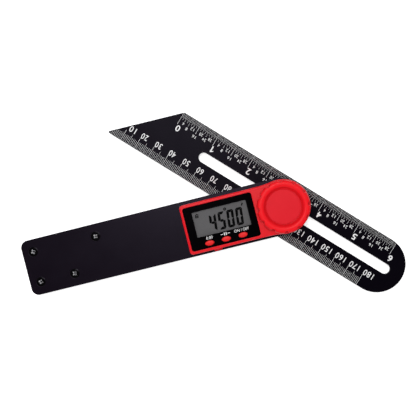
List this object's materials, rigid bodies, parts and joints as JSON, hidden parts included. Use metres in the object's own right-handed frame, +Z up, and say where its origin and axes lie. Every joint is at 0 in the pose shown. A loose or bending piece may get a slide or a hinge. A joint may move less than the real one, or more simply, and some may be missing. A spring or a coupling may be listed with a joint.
{
  "type": "digital angle finder",
  "caption": "Handle with a digital display and a lock knob, and a slotted rule with a mitred end that turns and slides through it to set and read an angle.",
  "frame": {"origin": "on the pivot axis, at the flat back of the back plate, on which the tool lies", "axes": "+X runs along the handle from its far end past the pivot, +Y is the top of the display, +Z is up through the lock knob"},
  "size_m": [0.2284, 0.1367, 0.0224],
  "materials": {
    "black_anodised": "black anodised, satin",
    "blackened_steel": "black oxide",
    "red_plastic": "moulded, semi-gloss",
    "black_gloss": "gloss, printed",
    "clear_plastic": "clear",
    "display_glass": "grey display glass",
    "black_rubber": "matt",
    "green_board": "solder mask",
    "chip_resin": "potting resin",
    "bright_steel": "plated",
    "brass": "turned",
    "white_nylon": "natural nylon"
  },
  "bodies": {
    "handle": {"back_plate": "black_anodised", "front_plate": "black_anodised", "end_spacer": "black_anodised", "handle_screw_1": "blackened_steel", "handle_screw_2": "blackened_steel", "handle_screw_3": "blackened_steel", "handle_screw_4": "blackened_steel", "display_housing": "red_plastic", "window_panel": "black_gloss", "lcd_window": "clear_plastic", "lcd_glass": "display_glass", "contact_strip": "black_rubber", "circuit_board": "green_board", "control_chip": "chip_resin", "pivot_stud": "bright_steel", "return_spring": "bright_steel", "clamp_sleeve": "bright_steel", "battery_contact_minus": "bright_steel", "battery_contact_plus": "bright_steel", "housing_screw_1": "bright_steel", "housing_screw_2": "bright_steel", "housing_screw_3": "bright_steel", "housing_screw_4": "bright_steel", "board_screw_1": "bright_steel", "board_screw_2": "bright_steel", "key_dome_1": "bright_steel", "key_dome_2": "bright_steel", "key_dome_3": "bright_steel", "back_washer": "white_nylon", "thrust_washer": "white_nylon"},
    "pivot_hub": {"guide_block": "brass", "encoder_rotor": "green_board"},
    "blade": {"blade": "black_anodised"},
    "lock_knob": {"lock_knob": "red_plastic", "knob_nut": "brass", "knob_cap": "red_plastic"},
    "left_button": {"left_button": "red_plastic"},
    "middle_button": {"middle_button": "red_plastic"},
    "right_button": {"right_button": "red_plastic"},
    "battery_tray": {"battery_tray": "red_plastic", "coin_cell": "bright_steel"}
  },
  "joints": [
    {"name": "blade_turn", "type": "hinge", "parent": "handle", "child": "pivot_hub", "pos_m": [0, 0, 0.0038], "axis": [0, 0, 1], "range_deg": [-298, 25]},
    {"name": "blade_slide", "type": "slide", "parent": "pivot_hub", "child": "blade", "axis": [-0.6997, 0.7145, 0], "range_m": [-0.053, 0.07]},
    {"name": "lock_knob_turn", "type": "hinge", "parent": "handle", "child": "lock_knob", "pos_m": [0, 0, 0.0174], "axis": [0, 0, 1], "range_deg": [0, 180]},
    {"name": "left_button_press", "type": "slide", "parent": "handle", "child": "left_button", "axis": [0, 0, -1], "range_m": [0, 0.0005], "stiffness_N_per_m": 1500, "springref_m": -0.0003},
    {"name": "middle_button_press", "type": "slide", "parent": "handle", "child": "middle_button", "axis": [0, 0, -1], "range_m": [0, 0.0005], "stiffness_N_per_m": 1500, "springref_m": -0.0003},
    {"name": "right_button_press", "type": "slide", "parent": "handle", "child": "right_button", "axis": [0, 0, -1], "range_m": [0, 0.0005], "stiffness_N_per_m": 1500, "springref_m": -0.0003},
    {"name": "battery_tray_slide", "type": "slide", "parent": "handle", "child": "battery_tray", "axis": [0, -1, 0], "range_m": [0, 0.022]}
  ]
}
